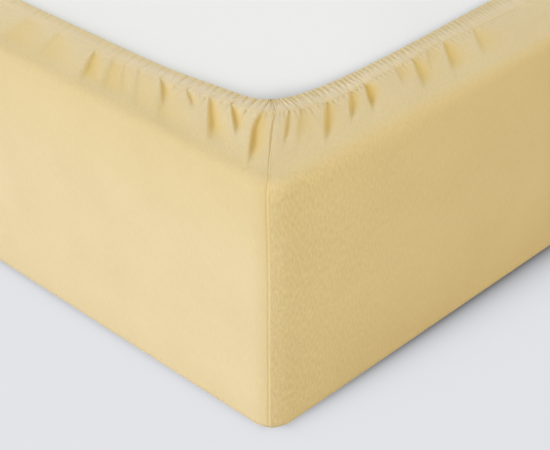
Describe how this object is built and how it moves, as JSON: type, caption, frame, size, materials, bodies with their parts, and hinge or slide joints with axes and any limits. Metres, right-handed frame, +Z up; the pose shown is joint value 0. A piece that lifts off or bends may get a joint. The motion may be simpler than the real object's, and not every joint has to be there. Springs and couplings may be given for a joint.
{
  "type": "fitted sheet on a single mattress",
  "caption": "Stretch fitted sheet drawn over a rectangular mattress that lies face down, its gathered elastic hem turned in over the edge on top.",
  "frame": {"origin": "on the floor under the middle of the mattress", "axes": "+Z up, towards the open side of the sheet; +Y along the mattress; +X across it"},
  "size_m": [0.907, 2.007, 0.2266],
  "materials": {
    "jersey": "pale yellow single jersey, matt, with a fine upright rib and a soft nap",
    "mattress_cover": "plain white matt mattress cover"
  },
  "bodies": {
    "root": {"fitted_sheet": "jersey", "mattress": "mattress_cover"}
  },
  "joints": []
}
